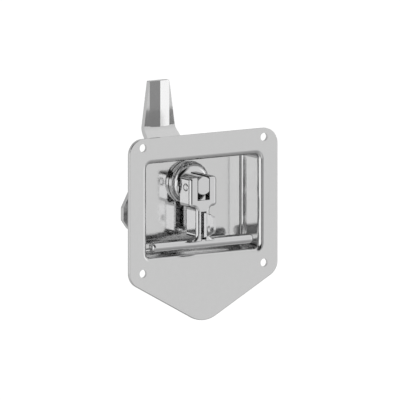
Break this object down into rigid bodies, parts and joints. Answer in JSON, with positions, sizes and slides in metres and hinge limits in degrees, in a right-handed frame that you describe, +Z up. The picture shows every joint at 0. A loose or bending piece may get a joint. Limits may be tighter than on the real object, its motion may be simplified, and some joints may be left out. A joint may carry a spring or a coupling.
{
  "type": "recessed folding t-handle door lock",
  "caption": "Recessed steel door lock: a pointed flange with a pressed-in cup, a folding T-handle with a padlock eye, and an offset cam finger behind.",
  "frame": {"origin": "centre of the four flange holes, on the rear face of the flange, where it meets the door", "axes": "X to the right seen from the front, Y into the door, Z up along the flange towards the straight edge"},
  "size_m": [0.13, 0.0815, 0.1722],
  "materials": {
    "polished_steel": "polished",
    "satin_steel": "satin",
    "nylon": "matt",
    "seal_rubber": "matt"
  },
  "bodies": {
    "cup": {"pan": "polished_steel", "bearing_housing": "satin_steel", "stop_pin_left": "satin_steel", "stop_pin_right": "satin_steel", "shaft_seal": "seal_rubber"},
    "rotor": {"rotor_drum": "polished_steel", "thrust_washer": "nylon", "spindle": "polished_steel", "padlock_staple": "polished_steel", "stop_washer": "satin_steel", "cam": "satin_steel", "cam_washer": "satin_steel", "lock_washer": "satin_steel", "cam_nut": "satin_steel"},
    "handle": {"handle_stem": "polished_steel", "t_bar": "polished_steel", "pivot_pin": "polished_steel", "pivot_spacer_left": "polished_steel", "pivot_spacer_right": "polished_steel"}
  },
  "joints": [
    {"name": "rotor_turn", "type": "hinge", "parent": "cup", "child": "rotor", "pos_m": [0, 0.02, 0.0147], "axis": [0, 1, 0], "range_deg": [0, 90]},
    {"name": "handle_fold", "type": "hinge", "parent": "rotor", "child": "handle", "pos_m": [0, 0.0035, 0.0138], "axis": [-1, 0, 0], "range_deg": [0, 90]}
  ],
  "couplings": [
    {"joint": "handle_fold", "follows": "rotor_turn", "ratio": 1}
  ]
}
